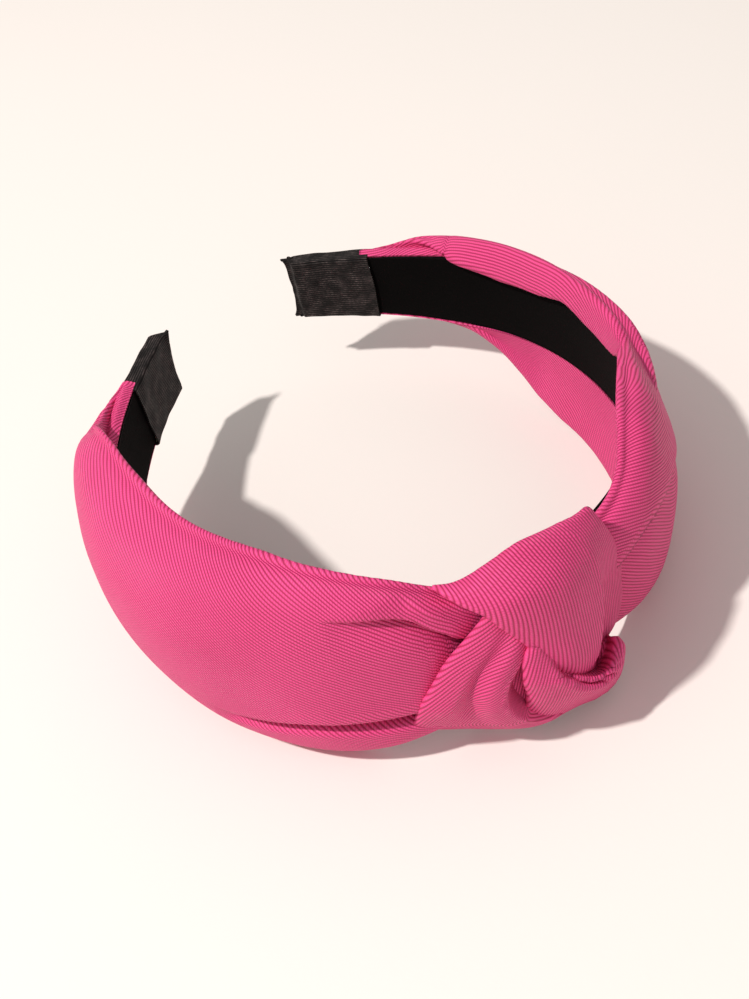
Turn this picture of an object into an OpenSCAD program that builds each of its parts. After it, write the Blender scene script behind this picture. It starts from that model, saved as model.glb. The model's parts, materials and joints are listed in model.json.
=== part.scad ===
// Knotted fashion headband: a springy plastic hoop, lined inside with velvet
// ribbon, covered outside with twill fabric tied in a knot at the crown, with
// ribbon wraps on both tips.
//
// The hoop lies on its edge: +Z runs across the band's width. The origin is the
// centre of the round stretch that sits on the head. The crown, where the knot
// is, points to -Y, and the two tips point to +Y.
//
// Places on the band are given as [s, n, z]: s runs along the inner face from
// the crown, positive to the right (+X); n is the height above that inner face,
// outwards; z is the height across the width.

/* [Hoop] */
// Radius of the inner face that sits on the head
head_r = 60; // [56:0.5:64]
// Half angle of the round stretch, each way from the crown
crown_half = 120; // [110:1:125]
// Radius of the inner face on the straighter tails
tail_r = 130; // [110:5:160]
// Length of the inner face from the crown to one tip
half_length = 174; // [170:1:180]
// Width of the band at the crown
crown_w = 27; // [24:0.5:29]
// Width that the taper runs down to beyond the tips
taper_w = 16; // [14:0.5:18]

/* [Layers] */
// Thickness of the lining ribbon
lining_t = 0.8; // [0.6:0.1:1]
// Thickness of the adhesive under the lining
lining_glue_t = 0.2; // [0.1:0.05:0.3]
// Thickness of the plastic core
core_t = 2; // [1.6:0.1:2.4]
// Thickness of the adhesive under the fabric
wing_glue_t = 0.3; // [0.2:0.05:0.4]
// Gap kept between soft pieces and their neighbours
soft_gap = 0.15; // [0.15:0.05:0.3]

/* [End wraps] */
// Distance along the band from the crown to the start of an end wrap
wrap_start = 155; // [152:1:160]
// Thickness of the wrap's ribbon, folded double
wrap_t = 0.7; // [0.5:0.1:0.9]
// Thickness of the adhesive under a wrap
wrap_glue_t = 0.15; // [0.1:0.05:0.2]
// Length of the flattened ribbon beyond the core's tip
wrap_end = 2.5; // [1.5:0.5:4]

/* [Fabric] */
// Distance along the band from the crown to the far end of each wing
wing_end = 154.5; // [150:0.5:154.5]
// Rings along a wing
wing_rings = 22; // [14:1:30]
// Rings up a fold of the knot
knot_rings = 10; // [8:1:14]

/* [Colours] */
// Twill fabric
fabric_colour = "#e4568f"; // [#e4568f, #f0a3c0, #7a9ccf]
// Velvet lining
lining_colour = "#1d1815"; // [#1d1815, #3a3330]
// Grosgrain wraps
wrap_colour = "#332c2a"; // [#332c2a, #4a423f]
// Plastic core
core_colour = "#151515"; // [#151515, #f2f0ea]
// Adhesive
glue_colour = "#e9dfb8"; // [#e9dfb8, #f4f0e2]

/* [Hidden] */
$fn = 96;

rad = 180 / PI;                     // degrees in a radian
left = -1;
right = 1;
lining_n = lining_t;                // outer face of the lining
core_in = lining_n + lining_glue_t; // inner face of the core
core_out = core_in + core_t;        // outer face of the core
skin_n = core_out + wing_glue_t;    // where the fabric starts
crown_len = head_r * crown_half / rad;
tail_half = (half_length - crown_len) / tail_r * rad;
tail_c = (head_r - tail_r) * [sin(crown_half), -cos(crown_half)];
taper_from = -25;                   // y where the taper begins
taper_to = 85;                      // y where the taper would end
reach = 200;                        // larger than the whole hoop
weld = 1;                           // length by which the tails run into the round stretch

// Half width of the band at a distance y from the head's centre
function half_w(y) =
    let (t = min(1, max(0, (y - taper_from) / (taper_to - taper_from))))
    (taper_w + (crown_w - taper_w) * (1 + cos(180 * t)) / 2) / 2;

// Heading of the band's outward normal at s, in degrees from the crown
function heading(s) = abs(s) <= crown_len ? abs(s) / head_r * rad : tail_heading(abs(s));
function tail_heading(s) = crown_half + (s - crown_len) / tail_r * rad;

// Point on the inner face at s, on the right half
function seat(s) =
    let (h = heading(s), d = [sin(h), -cos(h)])
    abs(s) <= crown_len ? head_r * d : tail_c + tail_r * d;

// Band coordinates to a point in space
function place(s, n, z) =
    let (h = heading(s), p = seat(s) + n * [sin(h), -cos(h)])
    [s < 0 ? -p.x : p.x, p.y, z];

// --- Hoop layers: exact arcs, cut to the taper -----------------------------

// Layer between two heights n over the round stretch
module crown_layer(n_in, n_out, w) {
    rotate([0, 0, -90 - crown_half])
        rotate_extrude(angle = 2 * crown_half, $fn = 240)
            translate([head_r + n_in, -w / 2])
                square([n_out - n_in, w]);
}

// Layer over the right tail, from one distance along the band to another
module tail_layer(n_in, n_out, w, from, to) {
    start = tail_heading(from);
    translate([tail_c.x, tail_c.y, 0])
        rotate([0, 0, start - 90])
            rotate_extrude(angle = tail_heading(to) - start, $fn = 360)
                translate([tail_r + n_in, -w / 2])
                    square([n_out - n_in, w]);
}

// Tapered outline seen along X, grown by a margin on each edge
module taper(margin) {
    steps = 24;
    ys = [for (i = [0:steps]) -90 + 190 * i / steps];
    upper = [for (y = ys) [y, half_w(y) + margin]];
    lower = [for (i = [steps:-1:0]) [ys[i], -half_w(ys[i]) - margin]];
    rotate([90, 0, 90])
        translate([0, 0, -reach / 2])
            linear_extrude(reach)
                polygon(concat(upper, lower));
}

// A layer of the whole hoop
module hoop_layer(n_in, n_out, margin) {
    w = crown_w + 2 * margin;
    intersection() {
        union() {
            crown_layer(n_in, n_out, w);
            for (side = [0, 1])
                mirror([side, 0, 0])
                    tail_layer(n_in, n_out, w, crown_len - weld, half_length);
        }
        taper(margin);
    }
}

// Mirrors a right-hand piece to the side asked for
module on(side) {
    if (side == left)
        mirror([1, 0, 0]) children();
    else
        children();
}

module core_band() {
    color(core_colour) hoop_layer(core_in, core_out, 0);
}

module lining_ribbon() {
    color(lining_colour) hoop_layer(0, lining_n, 0);
}

module lining_adhesive() {
    edge_in = 1.5;
    color(glue_colour) hoop_layer(lining_n, core_in, -edge_in);
}

// --- End wraps: flat sleeves over the tips ---------------------------------

// Solid sleeve stretch that stands proud of the core and lining by proud
module sleeve(proud, to) {
    w = crown_w + 2 * proud;
    intersection() {
        tail_layer(-proud, core_out + proud, w, wrap_start, to);
        taper(proud);
    }
}

module end_wrap(side) {
    color(wrap_colour)
        on(side)
            difference() {
                sleeve(wrap_glue_t + wrap_t, half_length + wrap_end);
                sleeve(wrap_glue_t, half_length);
            }
}

module wrap_adhesive(side) {
    color(glue_colour)
        on(side)
            difference() {
                sleeve(wrap_glue_t, half_length);
                sleeve(0, half_length);
            }
}

// --- Adhesive on the core's outer face -------------------------------------

module wing_adhesive(side) {
    strip_w = 12;
    strip_from = 30;
    strip_to = 120;
    turn = heading(strip_from);
    color(glue_colour)
        on(side)
            rotate([0, 0, turn - 90])
                rotate_extrude(angle = heading(strip_to) - turn, $fn = 240)
                    translate([head_r + core_out, -strip_w / 2])
                        square([wing_glue_t, strip_w]);
}

module knot_adhesive() {
    dab_w = 16;
    dab_half = heading(11);
    color(glue_colour)
        rotate([0, 0, -90 - dab_half])
            rotate_extrude(angle = 2 * dab_half, $fn = 240)
                translate([head_r + core_out, -dab_w / 2])
                    square([wing_glue_t, dab_w]);
}

// --- Swept fabric solids ----------------------------------------------------

// Closed solid through rings of equal length; turn is 1 or -1, the way they wind
module loft(rings, turn) {
    count = len(rings[0]);
    last = len(rings) - 1;
    sides = [
        for (i = [0:last - 1], j = [0:count - 1])
            let (a = i * count + j, b = i * count + (j + 1) % count)
            turn > 0 ? [a, b, b + count, a + count] : [a, a + count, b + count, b]
    ];
    low = [for (j = [0:count - 1]) j];
    high = [for (j = [0:count - 1]) last * count + j];
    caps = turn > 0 ? [reverse(low), high] : [low, reverse(high)];
    polyhedron(points = [for (ring = rings, p = ring) p], faces = concat(caps, sides));
}

function reverse(list) = [for (i = [len(list) - 1:-1:0]) list[i]];
function mix(a, b, t) = a + (b - a) * t;

// Wing outline by distance from the crown: the top fold, the bottom fold and
// the height of the belly over the inner face
left_top = [[20, 28], [60, 29], [105, 28], [130, 21], [155, 11]];
left_bottom = [[20, -26], [60, -28], [100, -28], [130, -19], [155, -11]];
left_belly = [[20, 8], [60, 10], [95, 11], [130, 10.5], [155, 4.5]];
right_top = [[5, 28], [45, 26], [70, 18], [90, 16], [125, 15], [155, 11]];
right_bottom = [[5, -28], [60, -29], [100, -28], [118, -22], [132, -13], [155, -10]];
right_belly = [[5, 9], [45, 9.5], [70, 8], [100, 7.5], [130, 8.5], [155, 4.5]];

// Where a wing meets the knot, by height
left_seam = [[-30, -33], [-14, -33], [14, -18.5], [30, -26]];
right_seam = [[-30, 13], [12, 13], [30, 7.5]];

// Section of a wing as [n, z] pairs: a belly outside, and a groove inside that
// holds the core's outer face and long edges
function wing_section(y, top, bottom, belly) =
    let (
        rim = soft_gap + 0.35,
        groove = half_w(y) + soft_gap,
        step = 0.6,
        hi = max(top, groove + 2 * step),
        lo = min(bottom, -groove - 2 * step),
        mid = (hi + lo) / 2,
        half = (hi - lo) / 2,
        outer_steps = 12
    )
    concat(
        [for (i = [0:outer_steps])
            let (a = 180 * i / outer_steps)
            [rim + (belly - rim) * pow(sin(a), 0.8), mid + half * cos(a)]],
        [
            [rim, -groove - step], [skin_n + soft_gap, -groove],
            [skin_n + soft_gap, -groove / 3], [skin_n + soft_gap, groove / 3],
            [skin_n + soft_gap, groove], [rim, groove + step]
        ]
    );

// Ring of a wing at a fraction f of the way from its far end to the knot
function wing_ring(side, f, top, bottom, belly, seam) =
    let (s = mix(wing_end, abs(lookup(0, seam)), f), y = seat(s).y)
    [for (q = wing_section(y, lookup(s, top), lookup(s, bottom), lookup(s, belly)))
        place(mix(side * wing_end, lookup(q[1], seam), f), q[0], q[1])];

module wing(side, top, bottom, belly, seam) {
    rings = [for (i = [0:wing_rings]) wing_ring(side, i / wing_rings, top, bottom, belly, seam)];
    color(fabric_colour) loft(rings, side);
}

// Fold of the knot: rings stacked in height, each from one s to another and
// out to its own crest
function fold_ring(z, from, to, crest) =
    let (
        base = skin_n + soft_gap,
        outer_steps = 10,
        inner_steps = 5,
        mid = (from + to) / 2,
        half = (to - from) / 2
    )
    concat(
        [for (i = [0:outer_steps])
            let (a = 180 * i / outer_steps)
            place(mid + half * cos(a), base + 0.4 + (crest - base - 0.4) * pow(sin(a), 0.7), z)],
        [for (i = [0:inner_steps]) place(mix(from, to, i / inner_steps), base, z)]
    );

module fold(low, high, from, to, crest) {
    zs = [for (i = [0:knot_rings]) mix(low, high, i / knot_rings)];
    color(fabric_colour)
        loft([for (z = zs) fold_ring(z, lookup(z, from), lookup(z, to), lookup(z, crest))], 1);
}

module knot_top_fold() {
    fold(-3.5, 29,
        [[-4, -8], [0, -8], [29, -24.5]],
        [[-4, 9], [12, 12], [29, 7]],
        [[-4, 15], [8, 15], [20, 12], [29, 6]]);
}

module knot_lower_loop() {
    fold(-24, 13.5,
        [[-24, -30], [-14, -32], [13.5, -17.5]],
        [[-24, -18], [-12, -15.5], [-3.5, -9], [0, -9], [13.5, -16.5]],
        [[-24, 7], [-12, 11], [0, 12], [13.5, 8]]);
}

module knot_swirl() {
    fold(-28, -4,
        [[-28, -7], [-24, -13], [-12, -15], [-4, -8.5]],
        [[-28, 4], [-24, 9], [-14, 12.3], [-4, 12.3]],
        [[-28, 9], [-20, 17], [-12, 20], [-4, 18]]);
}

core_band();
lining_ribbon();
lining_adhesive();
end_wrap(left);  // left_end_wrap
end_wrap(right);  // right_end_wrap
wrap_adhesive(left);  // left_wrap_adhesive
wrap_adhesive(right);  // right_wrap_adhesive
wing(left, left_top, left_bottom, left_belly, left_seam);  // left_wing
wing(right, right_top, right_bottom, right_belly, right_seam);  // right_wing
wing_adhesive(left);  // left_wing_adhesive
wing_adhesive(right);  // right_wing_adhesive
knot_top_fold();
knot_lower_loop();
knot_swirl();
knot_adhesive();
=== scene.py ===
import json
import math

import bpy
import numpy as np
from mathutils import Matrix, Vector, noise


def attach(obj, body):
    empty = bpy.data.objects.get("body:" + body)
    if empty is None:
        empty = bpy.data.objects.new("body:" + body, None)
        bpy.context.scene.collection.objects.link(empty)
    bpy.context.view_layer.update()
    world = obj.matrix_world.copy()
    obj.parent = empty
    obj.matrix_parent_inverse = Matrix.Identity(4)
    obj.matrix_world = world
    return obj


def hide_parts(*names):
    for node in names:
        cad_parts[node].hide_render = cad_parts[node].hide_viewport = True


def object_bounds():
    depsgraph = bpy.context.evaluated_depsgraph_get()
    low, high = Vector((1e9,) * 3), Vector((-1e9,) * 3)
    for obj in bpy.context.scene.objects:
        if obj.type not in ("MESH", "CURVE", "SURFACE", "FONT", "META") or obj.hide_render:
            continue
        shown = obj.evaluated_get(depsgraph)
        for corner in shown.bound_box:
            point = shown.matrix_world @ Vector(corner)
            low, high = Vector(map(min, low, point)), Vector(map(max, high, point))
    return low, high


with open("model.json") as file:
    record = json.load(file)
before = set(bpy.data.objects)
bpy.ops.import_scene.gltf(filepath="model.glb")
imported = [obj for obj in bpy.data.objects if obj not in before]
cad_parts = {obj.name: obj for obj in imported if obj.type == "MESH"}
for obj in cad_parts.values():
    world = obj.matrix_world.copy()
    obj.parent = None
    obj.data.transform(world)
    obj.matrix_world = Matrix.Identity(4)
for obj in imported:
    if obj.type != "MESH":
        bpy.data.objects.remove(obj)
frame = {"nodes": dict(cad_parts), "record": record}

CAD_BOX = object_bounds()
MM = 0.001
BODY = "root"

# The hoop, in millimetres and degrees, as the CAD model has it. A place on the band is
# (s, n, z): s along the inner face from the crown, n outwards from that face, z across.
SEAT = next(m for m in frame["record"]["mounts"] if m["name"] == "head_seat")
HEAD_R = SEAT["dims"]["r_mm"]
CROWN_W = SEAT["dims"]["length_mm"]
TAPER_W = 16.0
TAPER_FROM, TAPER_TO = -25.0, 85.0
CROWN_HALF = math.radians(120)
TAIL_R = 130.0
HALF_LENGTH = 174.0
WRAP_START = 155.0
LINING_T = 0.8
CORE_OUT = 3.0
CLOTH_T = 0.45
CROWN_LEN = HEAD_R * CROWN_HALF
TAIL_C = (HEAD_R - TAIL_R) * np.array([math.sin(CROWN_HALF), -math.cos(CROWN_HALF)])
LEFT, RIGHT = -1, 1

# How finely a wing is sampled: rows along it, and points along each row's section while it is
# drawn, while it is pleated and in the mesh
WING_ROWS = 200
DRAWN, PLEATED, MESHED = 640, 460, 230

# How a wing's cloth is softened: rounds of evening out, then the size and depth of its unevenness
RELAX_ROUNDS = 2
WING_UNEVENNESS = (26, 0.45)


# ---------------------------------------------------------------- curves and places

def heading(s):
    """Direction of the band's outward normal at s, in radians from the crown."""
    a = np.abs(s)
    return np.where(a <= CROWN_LEN, a / HEAD_R, CROWN_HALF + (a - CROWN_LEN) / TAIL_R)


def place(s, n, z):
    """Band coordinates in millimetres to points in the row frame, in metres."""
    s, n, z = np.broadcast_arrays(np.asarray(s, float), n, z)
    h = heading(s)
    on_crown = np.abs(s) <= CROWN_LEN
    r = np.where(on_crown, HEAD_R, TAIL_R) + n
    x = np.where(on_crown, 0, TAIL_C[0]) + r * np.sin(h)
    y = np.where(on_crown, 0, TAIL_C[1]) - r * np.cos(h)
    return np.stack([np.where(s < 0, -x, x), y, z], -1) * MM


def half_width(s):
    """Half the band's width at s."""
    y = place(s, 0, 0)[..., 1] / MM
    t = np.clip((y - TAPER_FROM) / (TAPER_TO - TAPER_FROM), 0, 1)
    return (TAPER_W + (CROWN_W - TAPER_W) * (1 + np.cos(np.pi * t)) / 2) / 2


def smooth(keys, x):
    """Smooth values at x through keys of (position, value, ...), without overshoot."""
    k = np.array(keys, float)
    p, v = k[:, 0], k[:, 1:]
    h = np.diff(p)[:, None]
    d = np.diff(v, axis=0) / h
    m = np.vstack([d[:1], np.zeros_like(d[1:]), d[-1:]])
    agree = d[:-1] * d[1:] > 0
    w1, w2 = 2 * h[1:] + h[:-1], h[1:] + 2 * h[:-1]
    a, b = np.where(agree, d[:-1], 1), np.where(agree, d[1:], 1)
    m[1:-1] = np.where(agree, (w1 + w2) / (w1 / a + w2 / b), 0)
    x = np.clip(x, p[0], p[-1])
    i = np.clip(np.searchsorted(p, x) - 1, 0, len(p) - 2)
    t = ((x - p[i]) / (p[i + 1] - p[i]))[:, None]
    out = (2 * t**3 - 3 * t**2 + 1) * v[i] + (t**3 - 2 * t**2 + t) * h[i] * m[i]
    out += (3 * t**2 - 2 * t**3) * v[i + 1] + (t**3 - t**2) * h[i] * m[i + 1]
    return out[:, 0] if v.shape[1] == 1 else out


def spline(points, count):
    """count points on a Catmull-Rom curve through points, which lie along the last axis but
    one."""
    p = np.concatenate([2 * points[..., :1, :] - points[..., 1:2, :], points,
                        2 * points[..., -1:, :] - points[..., -2:-1, :]], -2)
    spans = points.shape[-2] - 1
    u = np.linspace(0, spans, count)
    i = np.minimum(u.astype(int), spans - 1)
    t = (u - i)[:, None]
    p0, p1, p2, p3 = (p[..., i + k, :] for k in range(4))
    return 0.5 * (2 * p1 + (p2 - p0) * t + (2 * p0 - 5 * p1 + 4 * p2 - p3) * t**2
                  + (3 * p1 - p0 - 3 * p2 + p3) * t**3)


def along(points):
    """Length along points, which lie along the last axis but one."""
    step = np.linalg.norm(np.diff(points, axis=-2), axis=-1)
    return np.concatenate([np.zeros(step.shape[:-1] + (1,)), np.cumsum(step, -1)], -1)


def respace(points, count, axes=3):
    """The same curves with count points at equal distances, as the first few axes measure."""
    lengths = along(points[..., :axes])
    out = np.empty(points.shape[:-2] + (count, points.shape[-1]))
    for index in np.ndindex(points.shape[:-2]):
        at = np.linspace(0, lengths[index][-1], count)
        for axis in range(points.shape[-1]):
            out[index][:, axis] = np.interp(at, lengths[index], points[index][:, axis])
    return out


def patch(rows, across, down):
    """A smooth grid of points through a few rows of points."""
    finer_across, finer_down = 6, 4
    grid = respace(spline(np.array(rows, float), finer_across * across), across)
    grid = respace(spline(np.swapaxes(grid, 0, 1), finer_down * down), down)
    return np.swapaxes(grid, 0, 1)


# ---------------------------------------------------------------- meshes

def normals(grid):
    """Unit normals of a grid of points."""
    n = np.cross(np.gradient(grid, axis=0), np.gradient(grid, axis=1))
    return n / np.maximum(np.linalg.norm(n, axis=-1, keepdims=True), 1e-12)


def relax(grid, rounds):
    """Evens out small kinks, and keeps the grid's borders."""
    own_share, near_share = 0.5, 0.125
    for _ in range(rounds):
        inner = grid[1:-1, 1:-1]
        near = grid[:-2, 1:-1] + grid[2:, 1:-1] + grid[1:-1, :-2] + grid[1:-1, 2:]
        grid = grid.copy()
        grid[1:-1, 1:-1] = own_share * inner + near_share * near
    return grid


def crumple(grid, size, depth, seed):
    """Soft unevenness, as cloth has, size and depth in millimetres."""
    shift = Vector((seed * 7.3, seed * 3.1, seed * 5.7))
    flat = grid.reshape(-1, 3)
    bumps = [noise.noise(Vector(p) / (size * MM) + shift) for p in flat]
    move = np.array(bumps).reshape(grid.shape[:2] + (1,)) * depth * MM
    return grid + move * normals(grid)


def new_object(name, verts, faces, uvs=None):
    """A smooth-shaded mesh that rides on the hoop."""
    mesh = bpy.data.meshes.new(name)
    mesh.from_pydata([tuple(v) for v in verts], [], faces)
    if uvs is not None:
        layer = mesh.uv_layers.new(name="cloth_mm")
        corner = np.empty(len(mesh.loops), np.int32)
        mesh.loops.foreach_get("vertex_index", corner)
        layer.data.foreach_set("uv", np.asarray(uvs, np.float32)[corner].ravel())
    mesh.shade_smooth()
    obj = bpy.data.objects.new(name, mesh)
    bpy.context.scene.collection.objects.link(obj)
    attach(obj, BODY)
    return obj


def cloth(name, grid, weave, thick=CLOTH_T, flip=False):
    """A sheet of cloth as a closed mesh. grid is its outer face, and weave is its map: at
    each point, millimetres along and across the ribs of its weave."""
    rows, cols = grid.shape[:2]
    rim_bulge = 0.35
    out = normals(grid) * (-1 if flip else 1)
    inner = grid - out * thick * MM
    edge = border(rows, cols)
    rim = (grid + inner).reshape(-1, 3)[edge] / 2
    rim += outward(grid, edge) * rim_bulge * thick * MM
    verts = np.concatenate([grid.reshape(-1, 3), inner.reshape(-1, 3), rim])

    a = (np.arange(rows - 1)[:, None] * cols + np.arange(cols - 1)).ravel()
    front = np.stack([a, a + cols, a + cols + 1, a + 1], 1)
    if flip:
        front = front[:, ::-1]
    total = rows * cols
    back = front[:, ::-1] + total
    k = np.arange(len(edge))
    nxt = np.roll(k, -1)
    mid = 2 * total
    sides = np.concatenate([
        np.stack([edge[k], edge[nxt], mid + nxt, mid + k], 1),
        np.stack([mid + k, mid + nxt, total + edge[nxt], total + edge[k]], 1)])
    if not flip:
        sides = sides[:, ::-1]
    faces = np.concatenate([front, back, sides])

    uv = weave.reshape(-1, 2)
    uv = np.concatenate([uv, uv, uv[edge]])
    return new_object(name, verts, faces.tolist(), uv)


def length_from(datum, lengths):
    """Lengths along rows, measured from where datum last falls through 0 in each row."""
    rows, cols = datum.shape
    last = cols - 2 - np.argmax(datum[:, -2::-1] > 0, axis=1)
    k = np.arange(rows)
    t = datum[k, last] / (datum[k, last] - datum[k, last + 1])
    zero = lengths[k, last] + t * (lengths[k, last + 1] - lengths[k, last])
    return lengths - zero[:, None]


def mean_length(grid):
    """Millimetres along a grid's columns, on average, for each row."""
    return along(np.swapaxes(grid, 0, 1)).mean(0)[:, None] / MM


def evened(values, reach):
    """Values averaged along a grid's columns over reach rows each way."""
    ends = [np.repeat(values[:1], reach + 1, 0), np.repeat(values[-1:], reach, 0)]
    total = np.cumsum(np.concatenate([ends[0], values, ends[1]]), 0)
    return (total[2 * reach + 1:] - total[:-2 * reach - 1]) / (2 * reach + 1)


def flattened(grid, datum):
    """Millimetres along a grid's columns, and along its rows from where datum, which is one
    number at each point, last falls through 0."""
    v = length_from(datum, along(grid) / MM)
    return np.broadcast_to(mean_length(grid), v.shape), v


def ribs_at(u, v, degrees):
    """A weave whose ribs lie at an angle to a grid's columns; the angle may change with u."""
    turn = np.radians(np.broadcast_to(degrees, len(u)))
    slope = np.tan(turn)
    lean = np.concatenate([[0], np.cumsum((slope[1:] + slope[:-1]) / 2 * np.diff(u[:, 0]))])
    middle = turn.mean()
    along_rib = u * math.cos(middle) + v * math.sin(middle)
    return np.stack([along_rib, (v - lean[:, None]) * math.cos(middle)], -1)


def border(rows, cols):
    """Vertex numbers round a grid's edge."""
    grid = np.arange(rows * cols).reshape(rows, cols)
    return np.concatenate([grid[0, :-1], grid[:-1, -1], grid[-1, :0:-1], grid[:0:-1, 0]])


def outward(grid, edge):
    """Directions that point out of the sheet along its edge."""
    rows, cols = grid.shape[:2]
    inward = np.zeros_like(grid)
    inward[0] += grid[1] - grid[0]
    inward[-1] += grid[-2] - grid[-1]
    inward[:, 0] += grid[:, 1] - grid[:, 0]
    inward[:, -1] += grid[:, -2] - grid[:, -1]
    d = -inward.reshape(-1, 3)[edge]
    return d / np.maximum(np.linalg.norm(d, axis=-1, keepdims=True), 1e-12)


# ---------------------------------------------------------------- materials

class Nodes:
    """Short hand for building a material's node tree."""

    def __init__(self, name):
        self.material = bpy.data.materials.new(name)
        self.material.use_nodes = True
        self.tree = self.material.node_tree
        self.shader = self.tree.nodes["Principled BSDF"]

    def add(self, kind, **settings):
        node = self.tree.nodes.new(kind)
        for key, value in settings.items():
            if key in node.inputs:
                node.inputs[key].default_value = value
            else:
                setattr(node, key, value)
        return node

    def math(self, operation, a, b=0.0, c=0.0):
        node = self.add("ShaderNodeMath", operation=operation)
        for socket, value in zip(node.inputs, (a, b, c)):
            if isinstance(value, (int, float)):
                socket.default_value = value
            else:
                self.tree.links.new(value, socket)
        return node.outputs[0]

    def link(self, source, target):
        self.tree.links.new(source, target)

    def noise(self, vector, scale, detail=2.0):
        node = self.add("ShaderNodeTexNoise", Scale=scale, Detail=detail)
        self.link(vector, node.inputs["Vector"])
        return node.outputs["Fac"]

    def between(self, amount, low, high):
        """A colour from low to high."""
        node = self.add("ShaderNodeMix", data_type="RGBA")
        self.link(amount, node.inputs[0])
        node.inputs[6].default_value = (*low, 1)
        node.inputs[7].default_value = (*high, 1)
        return node.outputs[2]

    def spread(self, value, low, high):
        """A value from 0..1 to low..high."""
        return self.math("MULTIPLY_ADD", value, high - low, low)

    def bump(self, height, depth_mm, strength=1.0):
        node = self.add("ShaderNodeBump", Distance=depth_mm * MM, Strength=strength)
        self.link(height, node.inputs["Height"])
        self.link(node.outputs["Normal"], self.shader.inputs["Normal"])

    def set(self, **sockets):
        for key, value in sockets.items():
            self.shader.inputs[key.replace("_", " ")].default_value = value


def ridge(nodes, value):
    """0 to 1 and back over each whole number of value."""
    return nodes.math("SINE", nodes.math("MULTIPLY", nodes.math("FRACT", value), math.pi))


def twill_material():
    """Pink polyester twill: raised diagonal ribs, each made of short yarn floats."""
    rib_pitch, float_length = 0.74, 0.55
    n = Nodes("pink_twill")
    uv = n.add("ShaderNodeUVMap", uv_map="cloth_mm").outputs[0]
    place_at = n.add("ShaderNodeTexCoord").outputs["Object"]
    split = n.add("ShaderNodeSeparateXYZ")
    n.link(uv, split.inputs[0])
    wander = n.math("MULTIPLY", n.noise(uv, 0.35), 0.12)
    across = n.math("ADD", n.math("DIVIDE", split.outputs[1], rib_pitch), wander)
    rib = ridge(n, across)
    row = n.math("FLOOR", across)
    shifted = n.math("MULTIPLY_ADD", row, 0.41, n.math("DIVIDE", split.outputs[0], float_length))
    yarn = ridge(n, shifted)
    height = n.math("MULTIPLY", rib, n.spread(n.math("POWER", yarn, 0.6), 0.6, 1.0))
    fibre = n.noise(uv, 9.0, 4.0)
    height = n.math("MULTIPLY_ADD", fibre, 0.12, height)
    broad = n.noise(place_at, 45.0, 3.0)
    # Colour: a broad random tone, plus painted light from the rib height. Lighter crests are painted
    # highlight, and the darker valleys between the ribs are painted shade.
    tone_and_painted_rib_light = n.math("MULTIPLY_ADD", broad, 0.25, n.math("MULTIPLY", height, 0.85))
    colour = n.between(tone_and_painted_rib_light, (0.28, 0.0010, 0.022), (0.90, 0.079, 0.29))
    n.link(colour, n.shader.inputs["Base Color"])
    n.link(n.spread(fibre, 0.46, 0.64), n.shader.inputs["Roughness"])
    n.bump(height, 0.22, 0.9)
    n.set(Sheen_Weight=0.035, Sheen_Roughness=0.35, Sheen_Tint=(1.0, 0.72, 0.86, 1),
          Specular_IOR_Level=0.3)
    return n.material


def velvet_material():
    """Black short-pile velvet: very dark, with a faint warm bloom at grazing angles."""
    n = Nodes("black_velvet")
    at = n.add("ShaderNodeTexCoord").outputs["Object"]
    pile = n.noise(at, 2600.0, 3.0)
    brushed = n.noise(at, 60.0, 4.0)
    colour = n.between(brushed, (0.0012, 0.0010, 0.0010), (0.0036, 0.0031, 0.0029))
    n.link(colour, n.shader.inputs["Base Color"])
    n.link(n.spread(pile, 0.82, 1.0), n.shader.inputs["Roughness"])
    n.bump(n.math("MULTIPLY_ADD", brushed, 0.6, pile), 0.12, 0.8)
    n.set(Sheen_Weight=0.035, Sheen_Roughness=0.4, Sheen_Tint=(0.75, 0.68, 0.66, 1),
          Specular_IOR_Level=0.04)
    return n.material


def grosgrain_material():
    """Black grosgrain ribbon: close ribs along the band, dry and a little shiny."""
    rib_pitch = 0.66
    n = Nodes("black_grosgrain")
    uv = n.add("ShaderNodeUVMap", uv_map="cloth_mm").outputs[0]
    split = n.add("ShaderNodeSeparateXYZ")
    n.link(uv, split.inputs[0])
    wander = n.math("MULTIPLY", n.noise(uv, 0.5), 0.35)
    across = n.math("ADD", n.math("DIVIDE", split.outputs[1], rib_pitch), wander)
    rib = ridge(n, across)
    slub = n.noise(uv, 1.6, 4.0)
    thread = ridge(n, n.math("MULTIPLY_ADD", split.outputs[0], 2.6, n.math("FLOOR", across)))
    height = n.math("MULTIPLY", rib, n.spread(thread, 0.75, 1.0))
    # Painted highlight: the rib crests are painted pale in random patches, standing in for light caught
    # on them.
    bright = n.math("MULTIPLY", n.math("POWER", slub, 2.0), n.math("POWER", rib, 3.0))
    patchy = n.math("MULTIPLY", bright, n.math("POWER", n.noise(uv, 0.3, 3.0), 3.0))
    painted_highlight = n.math("MULTIPLY", patchy, 4.5)
    colour = n.between(painted_highlight, (0.0020, 0.0017, 0.0016), (0.27, 0.21, 0.20))
    n.link(colour, n.shader.inputs["Base Color"])
    n.link(n.spread(slub, 0.42, 0.68), n.shader.inputs["Roughness"])
    n.bump(height, 0.16, 0.9)
    n.set(Sheen_Weight=0.01, Sheen_Roughness=0.4, Specular_IOR_Level=0.12)
    return n.material


def plastic_material():
    """Black moulded plastic of the core, with a fine grain."""
    n = Nodes("black_core_plastic")
    at = n.add("ShaderNodeTexCoord").outputs["Object"]
    grain = n.noise(at, 900.0, 3.0)
    smudge = n.noise(at, 35.0, 3.0)
    colour = n.between(smudge, (0.008, 0.008, 0.008), (0.017, 0.016, 0.016))
    n.link(colour, n.shader.inputs["Base Color"])
    n.link(n.spread(smudge, 0.38, 0.58), n.shader.inputs["Roughness"])
    n.bump(grain, 0.03, 0.6)
    return n.material


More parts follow.
